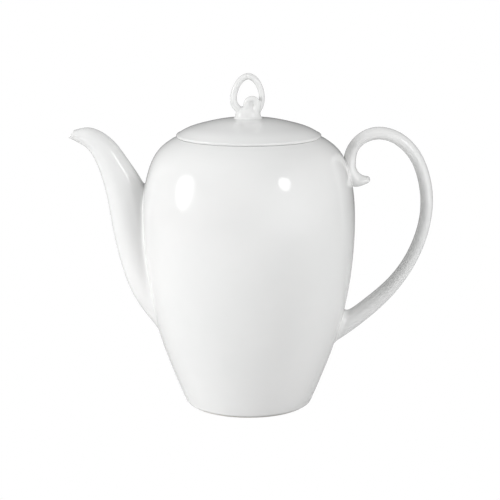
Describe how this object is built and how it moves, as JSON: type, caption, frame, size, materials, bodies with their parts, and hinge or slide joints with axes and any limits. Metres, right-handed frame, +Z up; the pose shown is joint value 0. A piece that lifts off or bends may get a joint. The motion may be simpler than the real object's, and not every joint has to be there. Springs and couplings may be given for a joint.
{
  "type": "coffee pot",
  "caption": "Tall swelling porcelain coffee pot with an S-curved spout, a looped strap handle and a domed lift-off lid with a ring finial.",
  "frame": {"origin": "on the body's axis, in the plane of the standing ring", "axes": "+Z up along the body's axis, +X towards the handle, so the spout points to -X"},
  "size_m": [0.2093, 0.1228, 0.1934],
  "materials": {
    "glaze": "gloss",
    "bisque": "matt"
  },
  "bodies": {
    "pot": {"pot_body": "glaze", "foot_ring": "bisque", "spout": "glaze", "handle": "glaze"},
    "lid_group": {"lid": "glaze", "lid_flange": "glaze", "lid_lug": "glaze", "finial_foot": "glaze", "finial_ring": "glaze", "finial_scroll": "glaze"}
  },
  "joints": [
    {"name": "lid_lift", "type": "slide", "parent": "pot", "child": "lid_group", "axis": [0, 0, 1], "range_m": [0, 0.09]}
  ]
}
